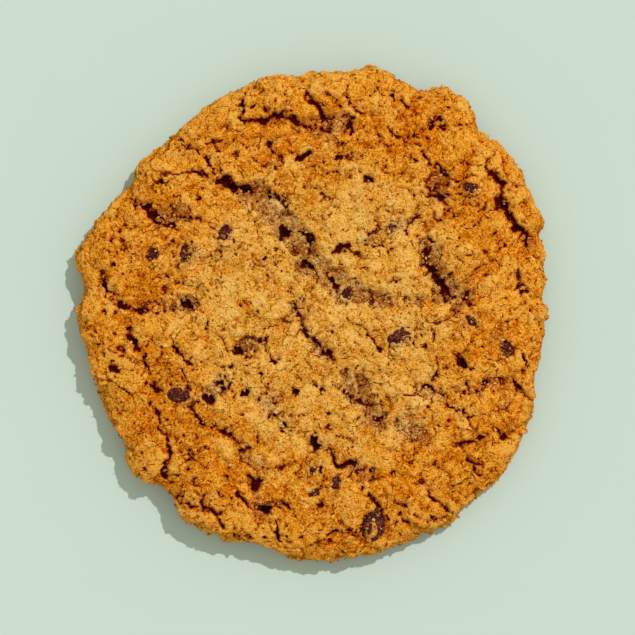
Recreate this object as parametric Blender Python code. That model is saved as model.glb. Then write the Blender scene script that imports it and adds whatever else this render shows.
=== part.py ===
"""An oatmeal raisin cookie, about 100 mm across: a slab of baked dough, and the raisins in its top.

The dough stands on a flat underside, whose middle is the world origin, with +Z up. Its edge bulges out
over the underside, rounds over at the shoulder and rises to a low dome. Cracks and small holes break the
crust into plates, and broad valleys run where the dough spread between the plates. Each raisin lies in a
pocket of its own, with a small gap all round it. Lengths and places are in millimetres, and angles in
degrees, until a mesh is made.
"""

import math
import random

import bpy
import numpy as np
from mathutils import Euler, Matrix, Vector, geometry, noise

MM = 0.001
SEED = 7

# The slab, from the underside up.
SIDE_ROWS = ((2.1, 0.0), (0.8, 0.8), (0.0, 2.7), (0.15, 5.2))  # (distance in from the outline, height)
TOP_INSET = 0.7  # the top begins this far in from the outline
TOP_EDGE_HEIGHT = 6.9
SHOULDER_WIDTH = 7.5
SHOULDER_HEIGHT = 9.0
DOME_RISE = 1.9  # of the middle over the shoulder
RIM_POINTS = 180
CRUST_STEP = 2.5  # between the points of the crust away from cracks
JITTER = 0.2  # of the step, by which each of those points is out of line
MERGE_DISTANCE = 0.05  # points of the crust nearer than this become one

# Where the outline turns, anticlockwise from +X: (direction, distance from the middle).
OUTLINE = (
    (0, 49.0), (4, 47.6), (9, 48.9), (17, 49.2), (23, 51.8), (30, 51.8), (38, 53.0), (43, 52.8),
    (48, 51.0), (54, 55.0), (60, 54.3), (65, 52.1), (76, 53.1), (82, 51.3), (89, 51.0), (93, 49.4),
    (101, 50.9), (106, 49.8), (120, 48.5), (127, 47.4), (133, 47.2), (140, 48.2), (146, 46.6),
    (150, 47.7), (165, 50.8), (174, 48.1), (179, 49.3), (185, 49.0), (189, 47.4), (194, 48.6),
    (202, 47.4), (213, 48.3), (222, 49.8), (230, 47.9), (239, 50.5), (250, 50.5), (260, 49.3),
    (264, 51.0), (276, 51.8), (294, 50.5), (303, 51.3), (311, 50.6), (318, 52.0), (333, 49.8),
    (346, 48.0), (354, 48.8),
)  # fmt: skip

# Uneven relief: (wavelength, height) of each scale of lumps, and of the crumbly rim.
LUMPS = ((16.0, 0.6), (6.0, 0.4))
RIM_LUMPS = (4.5, 0.7)
LAYER_GAP = 7.3  # between the noise of one kind of lump and that of the next

# Valleys between the plates: (width, depth, course).
VALLEYS = (
    (5.5, 1.2, ((-14, 25), (-9, 21), (-4, 16), (0, 11), (4, 7), (7, 5))),
    (4.0, 0.8, ((7, 4), (12.3, 3), (20, 3.2), (26.5, 2.5))),
    (5.0, 0.8, ((-15, 40), (-9.8, 40.5), (-4, 39), (1, 38), (5, 39.5))),
    (3.5, 0.8, ((22.7, 42.6), (27, 38.5), (25, 34.3), (25, 29))),
    (4.5, 1.0, ((25, 29), (24.5, 24), (22.5, 18), (24, 12), (26, 7), (30, 3.5), (32, -1))),
    (4.5, 0.8, ((38.4, 27), (39.4, 22), (42.9, 17.6), (44.8, 12.8), (43, 8.6), (43.3, 4.5), (42, -1))),
    (6.5, 0.9, ((8, -13.5), (12, -19.5), (18, -24), (23, -25))),
    (4.0, 0.7, ((22.7, -14.3), (26.9, -16.4), (31, -15.7), (36, -14.3), (41.5, -13.6))),
    (4.0, 0.8, ((28, -18.5), (32, -22))),
    (3.5, 0.7, ((23, -36.6), (29, -41.4))),
    (3.5, 0.8, ((-10.5, -17.5), (-6.5, -22), (-0.2, -26.1), (4.8, -30.5), (11, -32))),
    (3.5, 0.7, ((-21, -23.4), (-16, -26), (-13.5, -32), (-11.5, -37))),
    (4.5, 1.0, ((-14, -36), (-11, -41))),
    (3.0, 0.7, ((-4.4, 4.5), (-3, -2.6), (4, -10))),
    (4.5, 0.8, ((-36, 24), (-31, 20), (-25, 20.5))),
    (3.5, 0.8, ((-46.5, 11), (-42.5, 5), (-36, 1.3), (-26, 1.8))),
    (4.0, 0.8, ((-39, 0.3), (-37.7, -5.9), (-35.6, -8), (-33.5, -13.6), (-30, -16.3))),
    (3.0, 0.7, ((-30, -24), (-30.5, -30), (-31.2, -36))),
    (3.5, 0.7, ((-19, -14), (-18, -8), (-13, -6), (-8.5, -3.5), (-6, 0))),
    (4.0, 0.6, ((-27, -17.5), (-23, -16.5), (-18, -15), (-13, -17))),
    (3.0, 0.6, ((-8.5, 36), (-4, 33), (-0.5, 31.5), (4.7, 32.5))),
)  # fmt: skip

# Cracks in the crust: (width, depth, course). Each is sampled at the step, and torn sideways by the sway.
CRACK_STEP = 1.9
CRACK_SWAY = 0.45
CRACK_SWAY_WAVELENGTH = 1.3
CRACKS = (
    (0.7, 1.2, ((-27, 29.2), (-24.5, 29.3), (-21.6, 28.4))),
    (2.0, 3.4, ((-21.8, 28.3), (-18, 27.4), (-15.2, 26), (-12.4, 25))),
    (1.6, 3.0, ((-35.4, 22.9), (-33.3, 20.4), (-32.2, 18.7))),
    (1.2, 2.4, ((-33.4, 27.8), (-30.3, 26.6))),
    (0.9, 1.8, ((-27, 34.8), (-23.8, 34.1))),
    (1.1, 2.0, ((-22.5, 35.1), (-19.3, 35.6))),
    (1.2, 2.6, ((-15.6, 39.7), (-13, 40.1), (-10, 40.2), (-8.2, 41.2), (-5.5, 40.4), (-2, 39.1))),
    (1.5, 2.8, ((-1.4, 47.6), (-1.3, 44.4), (1, 43), (1.9, 40.4), (3.5, 40))),
    (0.7, 1.5, ((5, 44.9), (7.3, 44.5), (9, 42.5), (13.5, 40.8))),
    (1.1, 2.2, ((5.4, 42.6), (7.5, 40.2), (7, 38.2), (4.8, 37.2))),
    (0.7, 1.5, ((-10.3, 36.9), (-8.6, 34.4), (-6.2, 31))),
    (0.7, 1.4, ((-2.1, 28.6), (0.4, 25.9), (3.4, 23.1), (4.7, 21.1))),
    (1.1, 2.4, ((15.3, 45.8), (17.3, 44.8), (19.8, 43.1))),
    (1.2, 2.6, ((24.6, 43), (25.2, 40.6), (24.2, 38.8), (24.4, 36.6))),
    (2.0, 3.2, ((36.2, 32.3), (36, 29.7), (38.5, 27.2), (38.4, 22.6), (41, 19.2), (43.9, 15.8),
                (44.3, 12.6))),
    (0.9, 1.8, ((33.7, 21.2), (36.4, 23.3))),
    (0.7, 1.5, ((25.1, 26.4), (25.8, 23.4), (28.2, 21.5))),
    (1.0, 2.2, ((18.6, 16.7), (19.1, 19), (22.2, 20))),
    (1.6, 2.8, ((24, 15.4), (23.3, 10.2), (25.8, 6.8), (27.9, 3.4), (27.4, 0.8))),
    (0.6, 1.2, ((30.9, 11.7), (32.6, 11.7), (34.6, 10.7))),
    (0.9, 1.9, ((-47.6, 11.4), (-44.4, 8.8), (-43.4, 5.2), (-40.6, 2.6), (-36, 0.8), (-28.3, 0.5))),
    (0.7, 1.5, ((-31.3, 5.6), (-28.7, 3.8), (-26.4, 2.6))),
    (1.0, 1.9, ((-39.1, 0), (-38.6, -3.4), (-36.8, -6.8), (-34.1, -7.9))),
    (1.1, 2.4, ((-33.3, -11.9), (-33.5, -14.6), (-30.8, -16.4))),
    (0.9, 1.9, ((-25.6, -17.6), (-24.6, -19.4), (-22.9, -20.1))),
    (1.2, 2.6, ((-31, -23.8), (-29.8, -29.9), (-31, -32.2), (-29.6, -36.4))),
    (1.5, 2.8, ((-27.9, -38), (-24.6, -39.5), (-21.6, -40.7), (-17.8, -41.2))),
    (0.9, 1.8, ((-21.9, -22.9), (-18.6, -24.2), (-15.3, -26.9))),
    (1.1, 2.2, ((-8.7, -31.5), (-6, -31.7), (-3.8, -31.1))),
    (1.8, 3.0, ((-14.3, -32.7), (-12.2, -34.4), (-11.6, -37.4))),
    (1.2, 2.2, ((-8.3, -43.9), (-7.3, -45.6), (-7.2, -47.2))),
    (1.0, 2.0, ((3.4, -26.8), (4.3, -30.1), (7, -31.1), (10.4, -30.7))),
    (0.9, 1.8, ((10.6, -36.8), (12.6, -38.9), (13.2, -39.6))),
    (1.2, 2.2, ((27.9, -26.9), (30, -27.5), (33.4, -26), (36.6, -25))),
    (1.1, 2.2, ((30, -28.3), (31.6, -30.8), (33.6, -30.8), (34.8, -34.1))),
    (1.8, 3.0, ((37.6, -23.7), (39.6, -24.8), (41.3, -25.1))),
    (1.4, 2.6, ((28.2, -7.9), (30.6, -9.9), (33.1, -11.3))),
    (1.0, 1.9, ((23.6, -14.3), (25.3, -15.7), (27.3, -17.4))),
    (1.4, 2.2, ((32.6, -13.9), (30.4, -16.7))),
    (1.1, 2.2, ((40.9, -12.9), (42.2, -15.2), (44.6, -17.2))),
    (1.0, 2.0, ((24.1, -36.8), (25.6, -39.2), (28.2, -40.3))),
    (1.1, 2.2, ((20.5, -41.3), (22.9, -42.4), (25.9, -42.9))),
    (1.5, 2.6, ((-4, 18.5), (-1.5, 16.4), (-0.2, 13.4), (0, 11.9))),
    (1.3, 2.4, ((1.9, 8.9), (3.5, 6.7), (5.2, 5.5))),
    (0.9, 2.0, ((0.9, 13.4), (4.2, 13.2), (5.9, 14), (8.4, 12.6), (10.9, 11.2))),
    (0.9, 1.8, ((-4.7, 4.4), (-3.1, -0.6), (0, -5), (3.2, -7.9), (4.4, -10.9))),
    (1.2, 2.0, ((-13.8, -5.1), (-11.3, -5.5), (-9.1, -7))),
    (1.1, 2.0, ((5.3, -15.9), (7.7, -17.1), (10.9, -18.9))),
    (1.2, 2.0, ((11.8, -20.3), (13.4, -21), (15.3, -21.2))),
    (0.9, 1.8, ((-7.2, -20.8), (-5.9, -23.6), (-3.7, -24.1))),
)  # fmt: skip

# Holes in the crust: (x, y, length, width, direction of the length, depth).
HOLES = (
    (-6, 16.6, 3.2, 2.4, 90, 3.2), (-1.0, 9.9, 2.9, 1.5, -45, 2.6), (5.9, 14.1, 2.6, 1.6, -20, 2.2),
    (-25.9, 1.7, 2.8, 2.2, 110, 2.6), (-41.3, -11.1, 2.2, 1.9, 0, 2.4), (-15.2, -7.2, 2.5, 1.8, 25, 2.4),
    (-8.1, -10, 1.7, 1.7, 0, 2.0), (-19.2, -14.1, 2.0, 1.7, 30, 2.2), (-21.6, -17.4, 3.0, 1.6, -25, 2.4),
    (-14.2, -16.1, 2.0, 1.2, 0, 1.8), (-11.2, -17.4, 1.8, 1.3, 0, 2.0), (-3.6, -15.9, 1.8, 1.8, 0, 2.0),
    (1.4, -15.4, 2.2, 1.0, -40, 1.8), (0.4, -26.6, 3.4, 1.9, -45, 2.6), (9.4, -21.9, 1.4, 1.2, 0, 1.6),
    (-26.3, -29.5, 1.7, 1.2, -10, 1.8), (-9.8, -40.7, 2.3, 1.8, -20, 2.6), (18.8, -42.8, 1.5, 1.4, 0, 2.0),
    (43.4, -10.4, 1.9, 1.4, 90, 1.8), (43.1, 5.7, 2.8, 1.7, -60, 2.4), (11.5, 27.6, 2.2, 1.5, 0, 2.2),
    (4.7, 32.5, 2.4, 1.2, -20, 1.8), (7.8, 32.2, 1.5, 1.3, 0, 1.6), (-2.3, 32.8, 3.2, 1.6, 10, 2.6),
    (-8.1, 24.4, 1.7, 1.2, 0, 1.8), (31.4, 4.2, 2.4, 1.7, 60, 2.0), (-25.8, 20.2, 1.9, 1.4, 60, 2.0),
    (-29.5, 18.4, 2.2, 1.2, 0, 2.2), (26.8, 38.7, 1.8, 1.4, 0, 2.0), (8.2, 23.7, 2.2, 1.1, 40, 1.6),
    (1.3, -39.7, 1.5, 1.0, 90, 1.6), (12.8, -34, 2.4, 1.3, -15, 1.4), (22.6, -34.6, 1.8, 1.2, 0, 1.6),
)  # fmt: skip
HOLE_SIDES = 7
HOLE_FLOOR = 0.45  # of a hole's width, over its flat floor

# Raisins: (x, y, length, width, direction of the length, height of the top over the crust).
RAISINS = (
    (12.2, -43.8, 7.0, 6.0, 80, 0.5),
    (-33.4, 12.2, 4.6, 3.5, 80, 0.2),
    (17.5, -4.7, 6.2, 3.3, 10, 0.4),
    (32.4, -1.6, 4.2, 3.2, -40, 0.1),
    (-18.5, 16.9, 4.8, 3.5, 50, 0.1),
    (-26.7, 12.4, 5.4, 2.8, 85, 0.0),
    (15.8, 17.5, 3.6, 2.8, 60, 0.1),
    (32.4, 26.3, 4.0, 2.8, 0, 0.2),
    (0.2, -36.9, 4.6, 2.2, 28, 0.1),
    (4.5, -34.7, 3.9, 3.2, 70, 0.3),
    (39.7, -7.0, 4.8, 3.8, -60, -0.1),
    (-28.1, -16.7, 5.8, 3.0, -8, 0.1),
    (7.0, 4.6, 3.8, 3.0, 80, 0.2),
    (-0.3, -32.1, 2.9, 2.5, 45, 0.2),
)  # fmt: skip
RAISIN_THICKNESS = 0.8  # of a raisin's width
RAISIN_SIDES = 10
RAISIN_RINGS = 6
WRINKLES = 5
WRINKLE_DEPTH = 0.07  # of a raisin's radius
WRINKLE_TWIST = 1.6  # how far a wrinkle winds about the raisin, in radians
POCKET_GAP = 0.35

DOUGH_COLOUR = (0.54, 0.23, 0.035, 1.0)
DOUGH_ROUGHNESS = 0.85
RAISIN_COLOUR = (0.028, 0.009, 0.009, 1.0)
RAISIN_ROUGHNESS = 0.4
SHARP_ANGLE = 50  # a crease sharper than this is shaded as an edge


# ---------------------------------------------------------------- the outline and the courses of cracks


def eased(share):
    """0 to 1 with a level start and end."""
    return share * share * (3 - 2 * share)


def rim_radius(directions):
    """The distance of the outline from the middle in each direction, level wherever OUTLINE turns."""
    turns, reaches = np.array(OUTLINE, float).T
    turns = np.append(turns, turns[0] + 360)
    reaches = np.append(reaches, reaches[0])
    directions = np.asarray(directions) % 360
    before = np.searchsorted(turns, directions, side="right") - 1
    share = (directions - turns[before]) / (turns[before + 1] - turns[before])
    return reaches[before] + eased(share) * (reaches[before + 1] - reaches[before])


def ring(inset):
    """Points round the cookie, this far in from the outline."""
    directions = np.arange(RIM_POINTS) * 360 / RIM_POINTS
    reach = rim_radius(directions) - inset
    angles = np.radians(directions)
    return np.stack([reach * np.cos(angles), reach * np.sin(angles)], axis=1)


def course(corners, step):
    """A smooth run through the corners, with a point about every step."""
    corners = np.array(corners, float)
    ends = np.concatenate([[2 * corners[0] - corners[1]], corners, [2 * corners[-1] - corners[-2]]])
    run = [corners[0]]
    for a, b, c, d in zip(ends, ends[1:], ends[2:], ends[3:]):
        pieces = max(1, round(float(np.linalg.norm(c - b)) / step))
        for t in np.arange(1, pieces + 1) / pieces:
            bend = (2 * a - 5 * b + 4 * c - d) * t * t + (3 * b - a - 3 * c + d) * t**3
            run.append((2 * b + (c - a) * t + bend) / 2)
    return np.array(run)


def wobble(point, wavelength, layer):
    """Smooth noise from about -1 to 1, a different one in each layer."""
    return noise.noise(Vector((point[0] / wavelength, point[1] / wavelength, LAYER_GAP * layer + SEED)))


def sideways(run):
    """The direction square to the run at each of its points."""
    along = np.gradient(run, axis=0)
    return along[:, ::-1] * (-1, 1) / np.linalg.norm(along, axis=1)[:, None]


def ragged(run):
    """The run with its inner points pushed aside, so that it looks torn."""
    aside = CRACK_SWAY * np.array([wobble(point, CRACK_SWAY_WAVELENGTH, 1) for point in run])
    aside[[0, -1]] = 0
    return run + aside[:, None] * sideways(run)


def nearest_on(run, points):
    """Each point's distance from the run, and how far along the run its nearest place is, from 0 to 1."""
    start = run[:-1]
    step = np.diff(run, axis=0)
    length = np.linalg.norm(step, axis=1)
    offset = points[:, None] - start
    share = np.clip((offset * step).sum(axis=2) / length**2, 0, 1)
    apart = np.linalg.norm(offset - share[..., None] * step, axis=2)
    nearest = apart.argmin(axis=1)
    rows = np.arange(len(points))
    travelled = np.cumsum(length)[nearest] - (1 - share[rows, nearest]) * length[nearest]
    return apart[rows, nearest], travelled / length.sum()


def taper(share):
    """A crack's width as a share of its full width: nearly full along it, and nothing at its ends."""
    return np.sqrt(np.sin(np.pi * np.clip(share, 0, 1)))


# ---------------------------------------------------------------- the height of the top


def dome_height(points):
    """The height of the crust without lumps, valleys, cracks or holes."""
    distance = np.linalg.norm(points, axis=1)
    reach = rim_radius(np.degrees(np.arctan2(points[:, 1], points[:, 0])))
    over = np.clip((reach - TOP_INSET - distance) / SHOULDER_WIDTH, 0, 1)
    shoulder = (SHOULDER_HEIGHT - TOP_EDGE_HEIGHT) * np.sqrt(1 - (1 - over) ** 2)
    dome = DOME_RISE * (1 - (distance / reach) ** 2)
    return TOP_EDGE_HEIGHT + shoulder + dome


def lump_height(points):
    total = np.zeros(len(points))
    for layer, (wavelength, height) in enumerate(LUMPS):
        total += height * np.array([wobble(point, wavelength, 2 + layer) for point in points])
    return total


def valley_depth(points):
    total = np.zeros(len(points))
    for width, depth, corners in VALLEYS:
        apart, _ = nearest_on(course(corners, CRUST_STEP), points)
        total = np.maximum(total, depth * np.exp(-((2 * apart / width) ** 2)))
    return total


def crack_depth(points, cracks):
    total = np.zeros(len(points))
    for width, depth, run in cracks:
        apart, share = nearest_on(run, points)
        half = np.maximum(width / 2 * taper(share), 1e-6)
        total = np.maximum(total, depth * taper(share) * np.clip(1 - apart / half, 0, 1))
    return total


def hole_depth(points):
    total = np.zeros(len(points))
    for x, y, length, width, direction, depth in HOLES:
        turn = math.radians(direction)
        along = (points[:, 0] - x) * math.cos(turn) + (points[:, 1] - y) * math.sin(turn)
        across = (points[:, 1] - y) * math.cos(turn) - (points[:, 0] - x) * math.sin(turn)
        out = np.hypot(2 * along / length, 2 * across / width)
        total = np.maximum(total, depth * np.clip((1 - out) / (1 - HOLE_FLOOR), 0, 1))
    return total


def plain_height(points):
    """The height of the crust without cracks or holes."""
    return dome_height(points) + lump_height(points) - valley_depth(points)


# ---------------------------------------------------------------- the dough


def hole_ring(hole, scale):
    """Points round a hole, at this share of its size."""
    x, y, length, width, direction, _ = hole
    turn = math.radians(direction)
    angles = np.arange(HOLE_SIDES) * 2 * math.pi / HOLE_SIDES
    along = scale * length / 2 * np.cos(angles)
    across = scale * width / 2 * np.sin(angles)
    return np.stack(
        [
            x + along * math.cos(turn) - across * math.sin(turn),
            y + along * math.sin(turn) + across * math.cos(turn),
        ],
        axis=1,
    )


def crack_lips(crack):
    """The crack's floor line and the two lines where it meets the crust, each from end to end."""
    width, _, run = crack
    travelled = np.concatenate([[0], np.cumsum(np.linalg.norm(np.diff(run, axis=0), axis=1))])
    aside = width / 2 * taper(travelled / travelled[-1])[:, None] * sideways(run)
    return run, run + aside, run - aside


def crust_points(cracks):
    """Uneven points over the top, clear of its edge and of every crack and hole."""
    chance = random.Random(SEED)
    rows = []
    row_gap = CRUST_STEP * math.sqrt(3) / 2
    reach = max(far for _, far in OUTLINE)
    for j in range(round(2 * reach / row_gap)):
        for i in range(round(2 * reach / CRUST_STEP)):
            x = -reach + (i + j % 2 / 2 + chance.uniform(-JITTER, JITTER)) * CRUST_STEP
            y = -reach + (j + chance.uniform(-JITTER, JITTER)) * row_gap
            rows.append((x, y))
    points = np.array(rows)
    inside = rim_radius(np.degrees(np.arctan2(points[:, 1], points[:, 0]))) - TOP_INSET - CRUST_STEP / 2
    keep = np.linalg.norm(points, axis=1) < inside
    for width, _, run in cracks:
        keep &= nearest_on(run, points)[0] > width / 2 + CRUST_STEP / 3
    for x, y, length, *_ in HOLES:
        keep &= np.hypot(points[:, 0] - x, points[:, 1] - y) > length / 2 + CRUST_STEP / 4
    return points[keep]


def top_mesh():
    """(points, triangles, edge) of the top, where edge lists the points of its outer ring in order."""
    cracks = [(width, depth, ragged(course(corners, CRACK_STEP))) for width, depth, corners in CRACKS]
    points = [tuple(point) for point in ring(TOP_INSET)]
    lines = []

    def add_line(run, closed):
        first = len(points)
        points.extend(tuple(point) for point in run)
        lines.extend((first + i, first + i + 1) for i in range(len(run) - 1))
        if closed:
            lines.append((len(points) - 1, first))

    for crack in cracks:
        for run in crack_lips(crack):
            add_line(run, False)
    for hole in HOLES:
        for scale in (1, HOLE_FLOOR):
            add_line(hole_ring(hole, scale), True)
    points.extend(tuple(point) for point in crust_points(cracks))
    inside_the_face = 1
    corners = [Vector(point) for point in points]
    outline = [list(range(RIM_POINTS))]
    found, _, triangles, sources, _, _ = geometry.delaunay_2d_cdt(
        corners, lines, outline, inside_the_face, MERGE_DISTANCE
    )
    edge = [0] * RIM_POINTS
    for index, source in enumerate(sources):
        for given in source:
            if given < RIM_POINTS:
                edge[given] = index
    flat = np.array([tuple(point) for point in found])
    sunk = np.maximum(crack_depth(flat, cracks), hole_depth(flat))
    return np.column_stack([flat, plain_height(flat) - sunk]), triangles, edge


def side_ring(inset, height):
    """One row of points round the side, in and out with the rim's lumps, which die out at the underside."""
    wavelength, lump = RIM_LUMPS
    size = lump * min(1.0, height)
    row = []
    for x, y in ring(inset):
        bulge = size * noise.noise(Vector((x, y, height)) / wavelength)
        out = 1 + bulge / math.hypot(x, y)
        row.append((x * out, y * out, height))
    return row


def make_dough(material):
    top, faces, edge = top_mesh()
    points = [tuple(point) for point in top]
    faces = [tuple(face) for face in faces]
    upper = edge
    for inset, height in reversed(SIDE_ROWS):
        lower = list(range(len(points), len(points) + RIM_POINTS))
        points.extend(side_ring(inset, height))
        for i in range(RIM_POINTS):
            j = (i + 1) % RIM_POINTS
            faces.append((upper[i], lower[i], lower[j], upper[j]))
        upper = lower
    faces.append(tuple(reversed(upper)))
    return add_object("dough", points, faces, material)


# ---------------------------------------------------------------- the raisins


def raisin_ball(length, width, grow, layer):
    """(points, faces) of a raisin lying along X: a squat ball with wrinkles that run its length."""
    points = [(-1.0, 0.0, 0.0)]
    for i in range(1, RAISIN_RINGS):
        lean = math.pi * i / RAISIN_RINGS
        for j in range(RAISIN_SIDES):
            turn = 2 * math.pi * j / RAISIN_SIDES
            fold = math.cos(WRINKLES * turn + WRINKLE_TWIST * math.sin(2 * lean + layer))
            reach = math.sin(lean) * (1 + WRINKLE_DEPTH * fold)
            points.append((-math.cos(lean), reach * math.cos(turn), reach * math.sin(turn)))
    points.append((1.0, 0.0, 0.0))
    half = np.array([length, width, width * RAISIN_THICKNESS]) / 2 + grow
    shaped = [tuple(np.array(point) * half) for point in points]
    faces = []
    tip = len(points) - 1
    for j in range(RAISIN_SIDES):
        k = (j + 1) % RAISIN_SIDES
        faces.append((0, 1 + k, 1 + j))
        for a in range(1, tip - RAISIN_SIDES, RAISIN_SIDES):
            faces.append((a + j, a + k, a + RAISIN_SIDES + k, a + RAISIN_SIDES + j))
        faces.append((tip - RAISIN_SIDES + j, tip - RAISIN_SIDES + k, tip))
    return shaped, faces


def raisin_pose(x, y, width, direction, proud):
    """A raisin lies along the crust, leaning with it, with its top this far over it."""
    reach = width
    around = np.array([(x, y), (x + reach, y), (x - reach, y), (x, y + reach), (x, y - reach)])
    middle, east, west, north, south = dome_height(around) - valley_depth(around)
    up = Vector((west - east, south - north, 2 * reach)).normalized()
    centre = Vector((x, y, middle)) + up * (proud - width * RAISIN_THICKNESS / 2)
    lean = Vector((0, 0, 1)).rotation_difference(up)
    spin = Euler((0, 0, math.radians(direction))).to_matrix()
    return Matrix.Translation(centre * MM) @ (lean.to_matrix() @ spin).to_4x4()


def make_raisins(dough, material):
    for number, (x, y, length, width, direction, proud) in enumerate(RAISINS, 1):
        pose = raisin_pose(x, y, width, direction, proud)
        shape = raisin_ball(length, width, 0, number)
        raisin = add_object(f"raisin_{number:02d}", *shape, material)
        raisin.matrix_world = pose
        pocket = raisin_ball(length, width, POCKET_GAP, number)
        cutter = add_object(f"pocket_{number:02d}", *pocket, material)
        cutter.matrix_world = pose
        cutter.hide_render = True
        cutter.display_type = "WIRE"
        cut = dough.modifiers.new(cutter.name, "BOOLEAN")
        cut.operation = "DIFFERENCE"
        cut.object = cutter


# ---------------------------------------------------------------- objects and materials


def plain_material(name, colour, roughness):
    material = bpy.data.materials.new(name)
    material.use_nodes = True
    shader = material.node_tree.nodes["Principled BSDF"]
    shader.inputs["Base Color"].default_value = colour
    shader.inputs["Roughness"].default_value = roughness
    return material


def add_object(name, points, faces, material):
    mesh = bpy.data.meshes.new(name)
    mesh.from_pydata([Vector(point) * MM for point in points], [], faces)
    mesh.materials.append(material)
    mesh.shade_smooth()
    mesh.set_sharp_from_angle(angle=math.radians(SHARP_ANGLE))
    thing = bpy.data.objects.new(name, mesh)
    bpy.context.scene.collection.objects.link(thing)
    return thing


def main():
    for thing in list(bpy.data.objects):
        bpy.data.objects.remove(thing)
    dough = make_dough(plain_material("baked dough", DOUGH_COLOUR, DOUGH_ROUGHNESS))
    make_raisins(dough, plain_material("raisin skin", RAISIN_COLOUR, RAISIN_ROUGHNESS))


main()
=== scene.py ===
"""How the oatmeal raisin cookie looks: its crumbly crust, raisins, oat flakes and crumbs, on a pale floor.

The CAD gives the outline, the height of the crust, its cracks, and the pockets of the raisins. Here a fine
skin is wrapped round the CAD dough and roughened, every raisin gets its wrinkles, and what is too fine for
the CAD is added. Lengths are in millimetres until a mesh is made.
"""

import itertools
import math

import bpy
import numpy as np
from mathutils import Matrix, Vector
from mathutils.bvhtree import BVHTree

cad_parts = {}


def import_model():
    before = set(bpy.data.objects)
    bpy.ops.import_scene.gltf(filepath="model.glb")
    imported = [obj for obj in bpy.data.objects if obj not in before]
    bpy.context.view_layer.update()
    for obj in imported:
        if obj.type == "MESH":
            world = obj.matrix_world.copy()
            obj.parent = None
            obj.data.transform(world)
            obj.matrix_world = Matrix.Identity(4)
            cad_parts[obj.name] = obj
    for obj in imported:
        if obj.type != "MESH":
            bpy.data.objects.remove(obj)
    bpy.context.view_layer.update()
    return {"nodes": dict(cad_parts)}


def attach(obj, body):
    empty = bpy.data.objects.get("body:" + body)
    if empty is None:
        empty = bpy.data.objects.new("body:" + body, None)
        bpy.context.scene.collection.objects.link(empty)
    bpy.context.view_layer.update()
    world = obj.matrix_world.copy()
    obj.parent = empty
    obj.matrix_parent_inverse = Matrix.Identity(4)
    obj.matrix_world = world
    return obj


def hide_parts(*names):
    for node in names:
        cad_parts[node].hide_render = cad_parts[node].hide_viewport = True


MM = 0.001

# What the crust's material reads from the skin.
MASKS = ("cut", "cavity", "baked", "rough", "plate", "oat", "stain", "torn")

# The skin: rings of points over the top, round the rim and over the underside.
SKIN_STEP = 0.35  # between its points
TOP_RADIUS = 48.0
PIVOT_INSET = 4.0  # the rim's rays meet on a line this far in from the outline
PIVOT_HEIGHT = 3.6
PIVOT_BLUR = 9  # that line is averaged over this many points on either side
RIM_RADIUS = 4.6  # from that line to the rim
UNDERSIDE_INSET = 2.3
UNDERSIDE_RINGS = 26
WIDEST_LEVEL = 2.5  # the height at which the dough is widest
RAY_START = 30.0  # rays start this far off, outside the dough
OUTLINE_STEPS = 720
SMOOTHING_ROUNDS = 10
LEVEL_ROUNDS = 14  # of smoothing, for the level that hollows are measured from
LOWEST_EDGE = 0.05  # the side stays this far above the floor
LOWEST_CRUMB = 0.02  # and crumbs and flakes this far

# The map of cracks and holes, sampled from the CAD.
MAP_REACH = 56.0
MAP_STEP = 0.25
WIDEST_HOLE = 6.4
WIDEST_CRACK = 2.5
LEAST_CUT = 0.16
LEAST_CRUST = 6.6  # the top lies above this height, and the side below it

# Cracks and holes: their ragged edges as (wavelength, sway), and how they differ from the CAD's.
RAGGED = ((3.1, 0.6), (1.3, 0.5), (0.8, 0.4))
CUT_SHARE = 0.62  # of the CAD's depth, as crumbs half fill them
TORN_WIDTH = 0.9  # how much wider they are in their torn stretches
SUNKEN_EDGE = 0.4  # how far the crust sinks beside them

# In a valley the crust has torn away: how thick it is, and the dip at which it tears.
CRUST_THICKNESS = 0.5
TEAR_DIP = 0.32

# Relief of the crust: smooth swells and rounded grains as (wavelength, height).
SWELLS = ((8.0, 0.2), (3.6, 0.1))
GRAINS = ((2.6, 0.18), (1.3, 0.17))

# The crust is broken into plates, and these into clumps, each at its own height and tilt, with seams between:
# (size, step in height, tilt, width of a seam as a share of the size, its depth).
PLATES = (
    (9.0, 0.24, 0.5, 0.07, 0.8),
    (4.4, 0.18, 0.4, 0.1, 0.6),
    (2.3, 0.08, 0.18, 0.14, 0.3),
)

# Small holes between grains: (spacing, width as a share of it, depth, how readily they open).
PITS = ((3.0, 0.17, 1.0, -0.1), (1.5, 0.27, 0.8, 0.06))

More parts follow.
